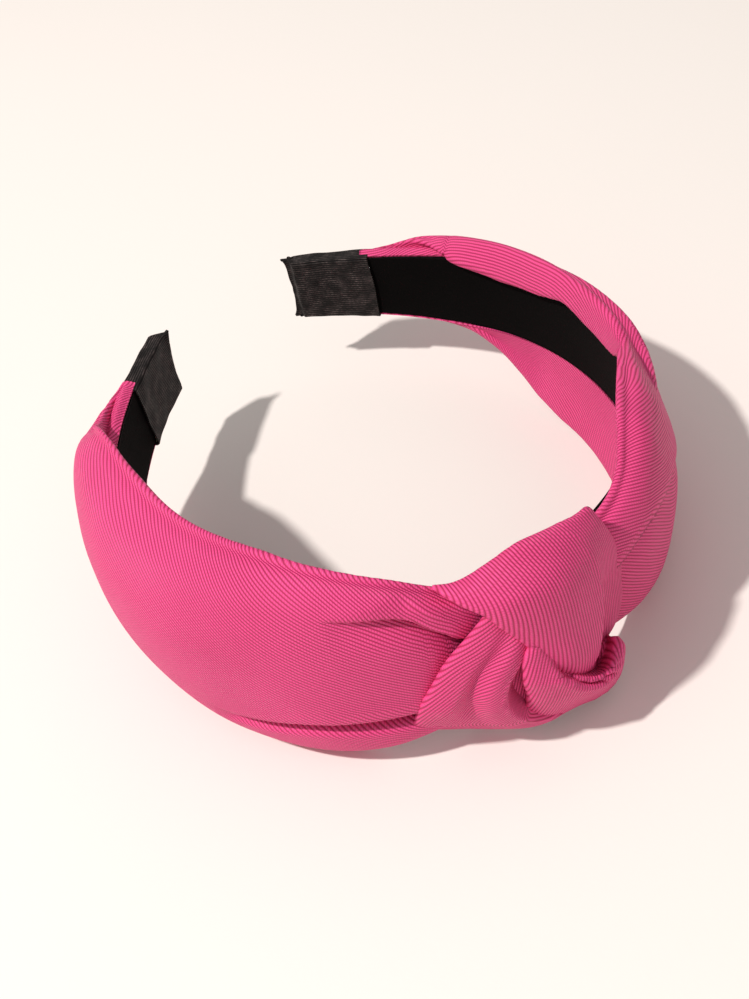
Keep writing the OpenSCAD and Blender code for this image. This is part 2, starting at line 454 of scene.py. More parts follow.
def glue_material():
    """Amber hot-melt adhesive, slightly cloudy."""
    n = Nodes("amber_adhesive")
    at = n.add("ShaderNodeTexCoord").outputs["Object"]
    cloud = n.noise(at, 120.0, 4.0)
    colour = n.between(cloud, (0.50, 0.40, 0.20), (0.74, 0.66, 0.44))
    n.link(colour, n.shader.inputs["Base Color"])
    n.link(n.spread(cloud, 0.25, 0.45), n.shader.inputs["Roughness"])
    n.bump(cloud, 0.08, 0.6)
    n.set(Subsurface_Weight=0.15, Subsurface_Scale=0.001)
    return n.material


def floor_material():
    """Plain warm-white paper."""
    n = Nodes("paper")
    at = n.add("ShaderNodeTexCoord").outputs["Object"]
    tooth = n.noise(at, 700.0, 4.0)
    colour = n.between(n.noise(at, 3.0), (0.86, 0.80, 0.755), (0.88, 0.83, 0.79))
    n.link(colour, n.shader.inputs["Base Color"])
    n.bump(tooth, 0.05, 0.5)
    n.set(Roughness=0.9, Specular_IOR_Level=0.1)
    return n.material


# ---------------------------------------------------------------- wings

def fold_points(n, z, degrees, radius):
    """Three points round a folded edge whose tip is at (n, z) and points at an angle."""
    t = np.radians(degrees)
    d = np.stack([np.cos(t), np.sin(t)], -1)
    side = np.stack([np.sin(t), -np.cos(t)], -1)
    tip = np.stack([n, z], -1)
    back = tip - 1.5 * d
    return [back - radius * side, tip, back + radius * side]


def arc_points(start, peak, flat, angles):
    """Points on a quarter ellipse from start to peak, pulled towards its chord by flat."""
    out = []
    for angle in angles:
        c, s = math.cos(math.radians(angle)), math.sin(math.radians(angle))
        round_ = np.stack([start[:, 0] + (peak[:, 0] - start[:, 0]) * c,
                           peak[:, 1] + (start[:, 1] - peak[:, 1]) * s], -1)
        chord = peak + (start - peak) * (angle / 90)
        out.append(round_ + (chord - round_) * flat[:, None])
    return out


def wing_section(w, a):
    """Control points of a wing's section, from the lining's top edge, over the top fold,
    down the belly, round the hem and back to the lining's lower edge."""
    h = half_width(a)
    zero = np.zeros_like(a)
    over_edge = smooth(w["over_edge"], a)
    fold = smooth(w["fold"], a)
    hem = smooth(w["hem"], a)
    inner = smooth(w["inner"], a)
    shoulder = smooth(w["shoulder"], a)
    belly = smooth(w["belly"], a)
    flat = smooth(w["flat"], a)
    foot = smooth(w["foot"], a)
    tuck = smooth(w["tuck"], a)
    radius = 0.6
    points = [np.stack([tuck, h + 0.25], -1), np.stack([over_edge, h + 0.9], -1), inner]
    points += fold_points(fold[:, 0], fold[:, 1], fold[:, 2], radius)
    points += [shoulder]
    points += arc_points(shoulder, belly, flat[:, 0], (60, 30))
    points += [belly]
    points += arc_points(foot, belly, flat[:, 1], (30, 60))
    points += [foot]
    points += fold_points(hem[:, 0], hem[:, 1], hem[:, 2], radius)
    low = np.stack([zero + 0.55, -h - 0.25], -1)
    points += [(low + hem[:, :2]) / 2 + np.array([0.5, 0.0]), low]
    return np.stack(points, 1)


def falling(x):
    """A smooth step from 1 down to 0 as x rises through 0."""
    steepest = 30
    return 1 / (1 + np.exp(np.clip(x, -steepest, steepest)))


def folded(a, n, z, outside, fold):
    """Puts a pleat in a wing's sections: the cloth above the line lies over the cloth below,
    in an S. The fold's size goes to nothing along the wing, so the pleat fades out."""
    turn_reach, turn_sharpness = 1.5, 6
    line = smooth(fold["line"], a[:, 0])[:, None]
    size = smooth(fold["size"], a[:, 0])[:, None]
    size = np.maximum(size, 1e-6)
    d = z - line
    q = np.clip(d / (turn_reach * size), -1, 1)
    lapped = z - outside * size * np.sin(np.pi * q)
    over = fold["lift"] * np.exp(-np.clip(d, 0, None) / fold["lift_reach"])
    under = -fold["drop"] * falling((-d - fold["gap"]) / fold["soft"])
    upper = falling(-turn_sharpness * q)
    moved = n + outside * size * (upper * over + (1 - upper) * under)
    return moved, lapped


def wing(w):
    """A wing's sheet of cloth, each point's place on the band, and how far it lies along its
    row from the middle of the band's width. What the pleats add to that is evened out, so
    that the weave runs smoothly over them. The outer cloth is the stretch of control points
    from the shoulder to just past the foot, and it is held clear of the core."""
    shoulder, past_foot = 6, 12.5
    take_up_reach = 8
    a = np.linspace(w["near"], w["far"], WING_ROWS)
    section = wing_section(w, a)
    control = np.linspace(0, section.shape[1] - 1, DRAWN)
    section = spline(section, DRAWN)
    n, z = section[..., 0], section[..., 1]
    outer = (control > shoulder) & (control < past_foot)
    over_core = outer & (np.abs(z) < half_width(a)[:, None] + 0.6)
    n = np.where(over_core, np.maximum(n, CORE_OUT + 0.8), n)
    section = respace(np.stack([n, z], -1), PLEATED)
    n, z = section[..., 0], section[..., 1]
    v = length_from(z, along(section))
    aa = np.broadcast_to(a[:, None], n.shape)
    outside = np.clip((n - CORE_OUT) / 1.5, 0, 1)
    for fold in w["pleats"]:
        n, z = folded(aa, n, z, outside, fold)
    on_core = (n > CORE_OUT - 0.6) & (np.abs(z) < half_width(aa) + 0.5)
    n = np.where(on_core, np.maximum(n, CORE_OUT + 0.7), n)
    section = respace(np.stack([n, z, v], -1), MESHED, axes=2)
    n, z, v = np.moveaxis(section, -1, 0)
    taken_up = length_from(v, along(section[..., :2])) - v
    v = v + evened(evened(taken_up, take_up_reach), take_up_reach)
    aa = aa[:, :MESHED]
    return place(w["side"] * aa, n, z), aa, n, z, v


LEFT_WING = {
    "side": LEFT, "near": 13.0, "far": 156.5,
    # (distance from the crown, value, ...), in millimetres and degrees
    "tuck": [(13, 0.55), (156.5, 0.55)],
    "over_edge": [(13, 0.9), (118, 0.9), (130, 2.7), (156.5, 2.7)],
    "inner": [(13, 1.6, 15), (24, 1.3, 17.5), (46, -0.2, 20.5), (79, -1.8, 21), (112, -1.4, 20),
              (122, 0.6, 16.5), (129, 2.3, 11.8), (135, 3.6, 8), (143, 4.1, 5.6), (150, 3.9, 6.4),
              (156.5, 3.0, 9.3)],
    "fold": [(13, 3, 17, 92), (20, 2.5, 19.5, 94), (24, 2, 21.5, 96), (32, 1, 25, 100),
             (46, -1.5, 27.5, 102), (60, -4, 28.5, 105), (79, -5, 28.8, 108), (95, -5.5, 28.8, 108),
             (112, -4, 27.8, 105), (122, -1.2, 25.6, 98), (130, 2.2, 20.6, 90), (135, 3.9, 16.2, 86),
             (140, 4.6, 13.4, 84), (145, 5.0, 11.6, 84), (150, 4.7, 10.4, 86), (154, 3.8, 10, 88),
             (156.5, 3.2, 9.8, 90)],
    "shoulder": [(13, 5, 15.5), (24, 5, 19.5), (32, 4, 23), (46, 2, 25.5), (60, 0, 26.5),
                 (79, -1, 26.8), (95, -1.4, 26.8), (112, -0.4, 25.8), (122, 1.9, 23.2), (130, 4.7, 18.2),
                 (135, 6.0, 14.4), (140, 6.4, 12), (145, 6.5, 10.3), (150, 5.8, 9.2), (156.5, 4.0, 9)],
    "belly": [(13, 6, 0), (24, 7, 0), (35, 8.3, 0), (50, 9.4, 0), (65, 10.2, 1), (85, 10.8, 3),
              (95, 10.7, 3), (105, 10.1, 2), (114, 10.1, 0), (124, 10.4, 0), (134, 10.2, 0),
              (142, 8.8, 0), (150, 6.4, 0), (156.5, 4.3, 0)],
    "foot": [(13, 5, -14), (24, 5.5, -17.5), (35, 6.0, -21), (46, 4.4, -24.3), (60, 2.8, -26.2),
             (79, 1.9, -26.8), (95, 1.8, -26.8), (112, 1.9, -25.4), (122, 2.7, -21.6), (132, 3.6, -16.5),
             (142, 4.3, -12), (150, 4.0, -9.8), (156.5, 3.2, -8.6)],
    "hem": [(13, 3, -17, -92), (24, 3, -20, -96), (35, 3.5, -23.5, -100), (46, 0.8, -27, -102),
            (60, -2, -28.3, -105), (79, -4, -28.6, -108), (95, -4.5, -28.7, -108),
            (112, -3.5, -27.4, -105), (122, -1.5, -23.8, -102), (132, 0.5, -18.6, -96),
            (142, 1.8, -13.6, -92), (150, 2.0, -10.9, -90), (156.5, 2.0, -9.6, -90)],
    "flat": [(13, 0.2, 0.1), (50, 0.15, 0.0), (70, 0.1, 0.05), (85, 0.05, 0.15), (100, 0.0, 0.05),
             (115, 0.0, 0.0), (130, 0.1, 0.1), (156.5, 0.2, 0.2)],
    "pleats": [
        {"line": [(13, 7), (21, 11.5), (24, 14.7), (27.3, 18.2), (29.6, 19.8), (33, 20.5), (48, 20.5)],
         "size": [(13, 2.2), (29, 2.1), (36, 1.1), (44, 0)],
         "lift": 0.9, "lift_reach": 4.0, "drop": 2.2, "gap": 4.8, "soft": 1.6},
        {"line": [(13, -8.6), (36, -8.2), (50, -8.2), (58, -9.2), (68, -11.5)],
         "size": [(13, 1.9), (50, 1.9), (60, 1.5), (66, 0.7), (72, 0)],
         "lift": 0.5, "lift_reach": 3.0, "drop": 2.4, "gap": 5.0, "soft": 0.4},
    ],
}

RIGHT_WING = {
    "side": RIGHT, "near": 6.0, "far": 156.5,
    "tuck": [(6, 2.2), (24, 2.0), (32, 0.55), (156.5, 0.55)],
    "over_edge": [(6, 2.6), (24, 2.3), (32, 0.9), (118, 0.9), (132, 2.7), (156.5, 2.7)],
    "inner": [(6, 2.6, 14.8), (18, 2.4, 15.8), (28, 1.2, 18), (42, -0.6, 19), (52, -1.2, 18.5),
              (60, -0.9, 17), (66, -0.5, 14.5), (74, -0.35, 11.5), (86, -0.35, 10.4), (96, -0.35, 11.6),
              (106, -0.35, 10), (116, -0.35, 9.7), (124, -0.2, 10.6), (130, 1.2, 11.2), (137, 3.4, 9.6),
              (145, 3.6, 8.6), (156.5, 3.0, 9.3)],
    "fold": [(6, 3.4, 15.5, 90), (18, 3.2, 17.5, 95), (23, 2.6, 20, 98), (28, 0.8, 22.5, 105),
             (35, -1.5, 25, 112), (42, -3, 24, 122), (50, -3.7, 22, 135), (58, -3.4, 19.5, 155),
             (63, -2.9, 16.8, 185), (67, -2.3, 13, 220), (72, -1.9, 9.4, 245), (78, -1.7, 8.2, 258),
             (85, -1.7, 8.2, 264), (91, -1.8, 9.5, 266), (95, -1.8, 10.2, 266), (100, -1.7, 9, 265),
             (106, -1.6, 7.9, 264), (115, -1.5, 7.9, 262), (122, -1.4, 9, 260), (127, -1.2, 9.8, 256),
             (131, -0.6, 10.6, 235), (135, 1.2, 12.2, 195), (140, 3.2, 12.7, 140), (145, 4.4, 11.5, 105),
             (150, 4.2, 10.1, 95), (156.5, 3.2, 9.2, 90)],
    "shoulder": [(6, 5.2, 13.5), (18, 5.6, 15.2), (28, 4.6, 20), (35, 2.8, 22.8), (42, 1.2, 22.8),
                 (50, 0.2, 21.2), (58, -0.6, 19), (65, -0.6, 17), (75, -0.1, 15.6), (90, 0.4, 15.2),
                 (105, 1.2, 15), (118, 2.2, 14.6), (128, 3.2, 14.2), (136, 4.6, 13.2), (142, 5.4, 11.9),
                 (150, 5, 9.6), (156.5, 4, 8.6)],
    "belly": [(6, 7, 2), (18, 8.6, 2), (24, 9.1, 2), (31, 9.0, 0), (38, 8.4, -2), (46, 8.0, -4),
              (54, 7.4, -6), (62, 7.2, -6), (70, 7.0, -4), (85, 6.6, -2), (100, 6.4, 0), (112, 7.2, 1),
              (122, 8.4, 2), (132, 8.9, 2), (140, 8.3, 1), (148, 6.6, 0), (156.5, 4.2, 0)],
    "foot": [(6, 3.6, -16), (15, 3.8, -19), (22, 3.8, -21.5), (30, 3.8, -23.6), (38, 3.2, -24.8),
             (50, 2, -26), (65, 0.4, -26.8), (80, -0.6, -26.8), (95, -0.4, -25.6), (108, 1, -23),
             (118, 2.4, -19), (126, 3.2, -14.5), (134, 3.8, -11.4), (145, 4.0, -9.8), (156.5, 3.2, -8.6)],
    "hem": [(6, 1, -18, -94), (15, 0.8, -21.4, -95), (22, 0.4, -24, -97), (30, 0, -26.4, -99),
            (38, -1.2, -27.9, -102), (50, -3, -28.8, -106), (65, -4.6, -28.9, -109),
            (80, -5, -28.8, -110), (95, -5, -28.2, -110), (106, -3.6, -26.4, -108),
            (114, -1.4, -22.5, -104), (122, 0.6, -17.2, -98), (130, 1.6, -12.9, -94),
            (138, 2.0, -11.5, -92), (156.5, 2.0, -9.6, -90)],
    "flat": [(6, 0.2, 0.1), (40, 0.2, 0.1), (58, 0.55, 0.0), (70, 0.6, 0.0), (90, 0.45, 0.0),
             (120, 0.1, 0.1), (156.5, 0.2, 0.2)],
    "pleats": [
        {"line": [(6, 3), (14, 6), (22, 8), (32, 7.2), (42, 4.4), (52, 0.5), (62, -4)],
         "size": [(6, 1.3), (40, 1.2), (54, 0.8), (62, 0)],
         "lift": 0.7, "lift_reach": 7.0, "drop": 1.0, "gap": 5.0, "soft": 2.5},
    ],
}


def left_wing(material):
    grid, a, _, _, v = wing(LEFT_WING)
    grid = crumple(relax(grid, RELAX_ROUNDS), *WING_UNEVENNESS, 1)
    u = mean_length(grid)
    turns = [(13, -41), (38, -35), (56, -29), (75, -40), (90, -28), (112, -6), (156.5, 0)]
    grain = smooth(turns, a[:, 0])
    pulled_open = 1.15
    piece = cloth("left_wing_cloth", grid, ribs_at(u, v, grain) / pulled_open, flip=True)
    piece.data.materials.append(material)
    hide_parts("left_wing")
    return piece


def joined(under, over, a, at_crease):
    """The weave below the right wing's pleat, faded into the one above it, so that they agree
    where the pleat ends."""
    meet_at, fade_from, fade_length = 45, 30, 30
    meet = (np.abs(a - meet_at) < 3) & at_crease
    under = under + (over - under)[meet].mean(0)
    fade = np.clip((a - fade_from) / fade_length, 0, 1)
    return under + (over - under) * (fade * fade * (3 - 2 * fade))[..., None]


def right_wing(material):
    grid, a, n, z, v = wing(RIGHT_WING)
    grid = crumple(relax(grid, RELAX_ROUNDS), *WING_UNEVENNESS, 2)
    u = mean_length(grid)
    grain = smooth([(6, 22), (30, 28), (60, 24), (85, 24), (104, 2), (156.5, 0)], a[:, 0])
    crease = smooth(RIGHT_WING["pleats"][0]["line"], a.ravel()).reshape(a.shape)
    grain_below = 45
    over, under = ribs_at(u, v, grain), ribs_at(u, v, grain_below)
    under = joined(under, over, a, (np.abs(z - crease) < 1) & (n > 0))
    weave = np.where(((z < crease) & (n > 0))[..., None], under, over)
    piece = cloth("right_wing_cloth", grid, weave)
    piece.data.materials.append(material)
    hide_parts("right_wing")
    return piece


# ---------------------------------------------------------------- knot

def from_band(grid):
    """A grid of (s, n, z) to points in space."""
    return place(grid[..., 0], grid[..., 1], grid[..., 2])


def ribs_across(shape, up, out):
    """A weave whose ribs climb a knot fold. They count along the band, at the knot's own
    radius, and change by up and out for each millimetre across and outwards."""
    knot_height = 12
    s, n, z = np.moveaxis(shape, -1, 0)
    return np.stack([-z, s * (HEAD_R + knot_height) / HEAD_R + up * z + out * n], -1)


def knot_piece(name, shape, weave, seed, material, node):
    """One fold of the knot."""
    piece = cloth(name, crumple(from_band(shape), 14, 0.25, seed), weave, flip=True)
    piece.data.materials.append(material)
    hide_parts(node)
    return piece


# The knot's three tables hold places on the band, (s, n, z) in millimetres. They began as the
# output of a helper script, which worked out places in the photo through the fitted camera, and
# were then edited by hand: the swirl's very little, the other two more.

# Each row goes from the left fold over the front to the ridge, into the valley behind it and
# over the flank; rows go from the top edge down to the tip
TOP_FOLD = [
    [(-23, 3.5, 22.6), (-20, 4.8, 23.4), (-17, 5.4, 24.3), (-12, 5.6, 25.9), (-6.5, 5.8, 27.3),
     (2, 6.2, 26.2), (5.5, 6.2, 25.2), (8.7, 5.8, 24.4), (10.4, 4.3, 20.6)],
    [(-21, 7, 22.6), (-18.6, 7.8, 23.6), (-15.4, 8.4, 24.4), (-10, 8.8, 25.2), (-2.5, 9.2, 25),
     (3.2, 9, 23.8), (6.8, 8.3, 22), (10, 7.2, 20.4), (12.2, 4.8, 15)],
    [(-18.8, 9.5, 21.4), (-16.7, 10.4, 22.4), (-14.2, 11, 23.2), (-9.5, 11.6, 23.6), (-2.7, 11.7, 22.6),
     (4.2, 10.9, 19.4), (8.2, 9.4, 16.4), (12.3, 7.6, 12.8), (14.6, 5.2, 7)],
    [(-16, 11.4, 19), (-14.8, 12.3, 20.5), (-13, 12.8, 21.4), (-9.2, 13.3, 22), (-2.5, 13.3, 19.8),
     (4.8, 11.9, 13.4), (7.6, 9.9, 11), (14.0, 7.3, 5), (15.6, 5.4, -0.5)],
    [(-14.5, 12.4, 16), (-13.4, 13.3, 17.2), (-11.8, 13.9, 18), (-7.5, 14.4, 18), (-2, 14.1, 15.6),
     (4.6, 12.6, 8.6), (6.6, 9.8, 6.8), (14.0, 7.5, -1.2), (15.6, 5.6, -7.5)],
    [(-12, 13.3, 11), (-11, 14.1, 12.2), (-9.8, 14.6, 13), (-6.5, 15, 13), (-2, 14.7, 10.8),
     (3.8, 13.4, 4.9), (5.5, 10.2, 3.6), (12.4, 8.2, -6), (14.2, 6, -12)],
    [(-10, 13.9, 6), (-9, 14.7, 7.2), (-7.8, 15.1, 7.8), (-5.5, 15.4, 7.6), (-2, 15.2, 5.8),
     (2.7, 14.1, 1), (4.3, 10.8, -0.2), (9.8, 8.8, -9.8), (11, 6.5, -15)],
    [(-8.2, 14.4, 2.2), (-7.4, 15.1, 3.2), (-6.4, 15.5, 3.6), (-4.5, 15.8, 3.2), (-2, 15.6, 1.6),
     (1.9, 14.5, -2.4), (3.3, 11.4, -3.6), (6.8, 9.4, -10.8), (8.2, 7, -16)],
    [(-7, 14.3, -2), (-6.4, 15, -1.2), (-5.6, 15.5, -0.6), (-4.2, 15.8, -1), (-2, 15.6, -2.6),
     (1.1, 14.6, -5.4), (2.2, 12, -6.6), (4, 10.4, -11.6), (5.2, 8, -16.5)],
    [(-5.6, 13.9, -4.8), (-5.2, 14.4, -4.6), (-4.5, 14.8, -5), (-3.5, 15, -6), (-2, 14.8, -7.6),
     (0.2, 14.1, -9.4), (0.9, 12.8, -10.2), (1.6, 11.8, -11.6), (2.6, 10, -14.5)],
    [(-4.6, 12.6, -6), (-4.2, 13, -6.2), (-3.6, 13.4, -6.8), (-2.8, 13.5, -7.6), (-1.8, 13.2, -9),
     (-0.6, 12.4, -10.4), (-0.2, 11.8, -11), (0.4, 11.2, -11.8), (1.4, 9.8, -13.5)],
]

# Each row goes from the left fold over the front and its valley to the rolled right edge and
# in behind it; rows go from the top down, and the last ones carry the roll round under the swirl
LOWER_LOOP = [
    [(-13.5, 9.5, 19.5), (-12.5, 10, 17.5), (-11, 10, 15), (-10, 10.5, 13), (-9, 10, 10), (-7.5, 8, 5)],
    [(-16.2, 10.3, 17.3), (-15, 11.3, 15.2), (-13.5, 11.7, 12.7), (-12.2, 12.9, 10.4),
     (-10.9, 12.8, 8.2), (-9, 9, 3)],
    [(-20, 10, 12), (-17.5, 11.8, 10.6), (-15.9, 12, 8), (-14.7, 13.8, 6.6), (-13, 13.8, 4.4),
     (-11, 9.2, 0)],
    [(-24, 9.6, 6.3), (-20.8, 11.4, 5), (-19, 11.2, 3), (-17.3, 13.6, 1.6), (-15.2, 13.9, 0.2),
     (-12.6, 9, -2.5)],
    [(-27.5, 9, -1.4), (-23.8, 10.6, -2.8), (-21.2, 10, -4), (-18.8, 13, -3.4), (-16.2, 13.7, -4.1),
     (-13.4, 8.8, -5.5)],
    [(-30, 8.4, -7.2), (-25.6, 9.8, -8.6), (-21.9, 9, -9.4), (-18.9, 12.4, -8.2), (-16, 13.3, -8.6),
     (-13.2, 8.8, -8.5)],
    [(-32, 6.6, -15), (-26, 7.7, -14.6), (-21.6, 8.6, -14), (-17.8, 11.6, -12.8), (-14.9, 12.9, -12.6),
     (-12.2, 9, -11.2)],
    [(-32, 4, -19.4), (-26, 5.2, -19.6), (-20.8, 7.4, -18.6), (-16.6, 10.8, -17), (-13.2, 12.5, -16.1),
     (-10.8, 9.2, -13.4)],
    [(-28, 2.8, -22.8), (-23, 4.4, -22.8), (-18.4, 7.2, -21.6), (-14, 10.4, -20.6), (-10.8, 12.1, -19),
     (-8.8, 9.4, -16)],
    [(-24, 2.2, -24.6), (-19, 4.2, -25.2), (-15, 7, -24.4), (-11, 10.2, -22.8), (-8.4, 11.9, -20.7),
     (-7, 9.8, -18)],
    [(-19, 2.2, -25.6), (-14.5, 4.4, -26.2), (-11, 7, -25.6), (-7.8, 10, -24), (-5.9, 11.5, -21.8),
     (-5.2, 10, -19.6)],
]

# Each row goes from the hidden hem over the outside to the outer lip, into the crease behind it,
# over the inner lip and down into the pocket; rows run round the tip from upper left to upper right
SWIRL = [
    [(-9.5, 9.5, -0.5), (-10.6, 13.2, 7), (-10.4, 14.2, 8.4), (-9, 14.5, 7), (-8, 13.5, 3.6),
     (-7, 12, 0.6), (-6.5, 11, -1.5), (-6, 10, -3.5)],
    [(-10, 9.5, -3.5), (-12, 13.7, 4.4), (-11, 14.8, 6.4), (-9.4, 15.1, 5), (-8, 14.9, 3),
     (-7, 13.4, 0.6), (-6.5, 12.4, -1.5), (-5.5, 10.5, -5)],
    [(-10.6, 9.8, -7.5), (-12.2, 13.8, 1), (-11.5, 15.2, 3), (-9.5, 15.8, 2.2), (-8, 15.7, 1),
     (-7, 14, -1.4), (-6, 13, -3), (-5, 11, -5.5)],
    [(-10.6, 9.8, -12), (-12.2, 13.8, -3.5), (-11.5, 15.5, -0.8), (-9.2, 16.3, -0.8),
     (-7.6, 16.6, -0.8), (-6.5, 14.6, -3.4), (-5.6, 14, -4.4), (-4, 11.5, -7.5)],
    [(-11.5, 10, -16), (-11.4, 13.7, -8.6), (-10.5, 15.4, -5), (-8.6, 16.6, -3.6), (-7, 17.2, -2.6),
     (-5.8, 14.8, -5), (-5.4, 15.2, -4.8), (-3, 12, -9)],
    [(-9, 10, -21.5), (-9.2, 13, -15), (-9, 15.2, -9.6), (-7.2, 16.7, -6.4), (-5.7, 17.5, -4.7),
     (-4.6, 15, -6.6), (-4.5, 16, -5.4), (-2, 12.5, -10)],
    [(-5.5, 10.4, -23.5), (-6.2, 12.6, -18.4), (-6, 15.1, -12.6), (-5.1, 16.8, -9.4),
     (-4.4, 17.7, -7.2), (-3.2, 15.2, -8.8), (-3.4, 16.6, -6.6), (-0.6, 12.5, -11.5)],
    [(-2, 10.8, -23.5), (-2.7, 12.9, -19), (-3, 15.2, -14.5), (-2.9, 16.8, -11.4), (-2.6, 17.7, -9.4),
     (-1.7, 15.6, -10.6), (-1.9, 17, -8.1), (1, 12.5, -13)],
    [(1.8, 11.4, -24.4), (1.1, 13.3, -20.4), (0.5, 15.2, -16.4), (0, 16.6, -13.4), (-0.4, 17.6, -11.2),
     (0, 15.9, -11.4), (-0.4, 17.1, -9), (2.5, 12, -14.5)],
    [(5, 11.3, -25), (4.4, 13.2, -20.8), (3.1, 15, -16.8), (2.1, 16.4, -13.6), (1.5, 17.3, -11.4),
     (1.5, 16.3, -10.9), (1.4, 16.9, -9.5), (3.5, 12, -13.5)],
    [(7.7, 10.8, -25), (6.8, 12.7, -20.8), (5.4, 14.4, -16.5), (4.3, 16, -13.2), (3.6, 16.8, -11),
     (3.2, 16.4, -10), (3, 16.2, -9.2), (4.5, 12, -12)],
    [(9.6, 9.8, -25), (8.6, 11.9, -20), (7.2, 13.6, -15.6), (6.1, 15, -12.2), (5.2, 15.7, -10.4),
     (4.7, 15.3, -9.5), (4.5, 14.6, -9.2), (6, 11, -11)],
    [(11, 8.8, -23), (9.7, 10.9, -17.8), (8.2, 12.5, -13.8), (7.4, 13.8, -10.8), (6.6, 14.3, -9),
     (6.1, 13.9, -8.4), (6, 13, -8.6), (7, 10, -11)],
    [(11.2, 8, -20), (9.6, 10, -14.6), (8.1, 11.4, -11.2), (7.5, 12.2, -9.6), (6.8, 12.5, -8.4),
     (6.6, 12, -8.2), (6.8, 11, -9), (8, 9, -11)],
]


def tucked_top(rows):
    """Rows with two more before them, which take the top fold down behind to the band's edge."""
    first = np.array(rows[0], float)
    over = first - (0, 1.4, 2.6)
    seam = np.stack([first[:, 0] * 0.9, 0 * first[:, 1] + 0.9, 0 * first[:, 2] + CROWN_W / 2 + 0.9], -1)
    return [seam, over] + [np.array(row, float) for row in rows]


def turned_under(rows, shift, last_shift=None):
    """Rows with one more point at the left, so that the left edge is a fold. The point's
    shift from the edge changes from shift in the first row to last_shift in the last. It
    stays outside the lining."""
    shift, last = np.array(shift), np.array(last_shift or shift)
    out = []
    for k, row in enumerate(np.array(rows, float)):
        under = row[0] + shift + (last - shift) * k / (len(rows) - 1)
        under[1] = max(under[1], LINING_T + 0.3)
        out.append(np.vstack([under, row]))
    return out


def ridged(rows, column):
    """Rows with a point close to each side of a column, which makes a crisp fold there."""
    closeness = 0.14
    out = []
    for row in rows:
        row = np.array(row, float)
        here = row[column]
        before, after = (here + (row[column + k] - here) * closeness for k in (-1, 1))
        out.append(np.vstack([row[:column], before, here, after, row[column + 1:]]))
    return out


def hidden_ends(rows, near, far):
    """Rows with more points at each end, turned in towards a place under the knot."""
    out = []
    for row in rows:
        row = np.array(row, float)
        start = row[0] + (np.array(near, float) - row[0]) * (0.75, 0.9, 0.35)
        end = row[-1] + (np.array(far, float) - row[-1]) * (0.8, 0.9, 0.5)
        turn_in, turn_out = row[0] + (start - row[0]) * 0.1, row[-1] + (end - row[-1]) * 0.1
        out.append(np.vstack([start, turn_in, row, turn_out, end]))
    return out


def knot(material):
    top_rows = turned_under(ridged(tucked_top(TOP_FOLD), 5), (3.4, -1.0, -4.2), (1.2, -2.2, -0.2))
    loop_rows = turned_under(ridged(LOWER_LOOP, 4), (2.0, -1.6, 0.4))
    top = patch(top_rows, 130, 110)
    loop = patch(loop_rows, 110, 120)
    swirl = patch(hidden_ends(SWIRL, (-18, 8.4, -9), (-2, 6.5, -8)), 130, 120)
    from_left = np.broadcast_to(0.5 - np.arange(loop.shape[1]), loop.shape[:2])
    slanted = ribs_at(*flattened(from_band(loop), from_left), -20)
    knot_piece("knot_top_fold_cloth", top, ribs_across(top, 0.0, -0.3), 3, material, "knot_top_fold")
    knot_piece("knot_lower_loop_cloth", loop, slanted, 4, material, "knot_lower_loop")
    knot_piece("knot_swirl_cloth", swirl, ribs_across(swirl, -0.3, 0.5), 5, material, "knot_swirl")


# ---------------------------------------------------------------- lining and end wraps

def lining(material):
    """The velvet ribbon, with slightly uneven woven edges."""
    wobble_pace, wobble_size, edge_height, sag_depth = 0.12, 0.18, 0.18, 0.12
    s = np.linspace(-HALF_LENGTH, HALF_LENGTH, 420)
    wobble = np.array([noise.noise(Vector((x * wobble_pace, 0, 0))) for x in s]) * wobble_size
    h = half_width(s) + wobble
    v = np.linspace(-1, 1, 34)
    sag = sag_depth * (1 - v**8)
    grid = place(s[:, None], edge_height - sag[None, :], h[:, None] * v[None, :])
    middle = np.broadcast_to(-v, grid.shape[:2])
    piece = cloth("lining_velvet", grid, ribs_at(*flattened(grid, middle), 0), LINING_T - 0.1, flip=True)
    piece.data.materials.append(material)
    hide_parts("lining_ribbon")


def wrap_loop(count, overlap):
    """A rounded rectangle of half size 1 by 1, from the middle of the outer face round to the
    same place and on by overlap. Returns unit n and z, and how far round each point is."""
    side, face = 0.05, 0.22
    turn = np.linspace(0, 4 + overlap, count)
    points = [(0, 1), (-1 + side, 1), (-1, 1 - face), (-1, -1 + face), (-1 + side, -1),
              (1 - side, -1), (1, -1 + face), (1, 1 - face), (1 - side, 1), (0, 1)]
    at = [0, 0.9, 1.0, 1.3, 1.4, 2.6, 2.7, 3.0, 3.1, 4]
    z = np.interp(turn % 4, at, [p[0] for p in points])
    n = np.interp(turn % 4, at, [p[1] for p in points])
    return n, z, turn


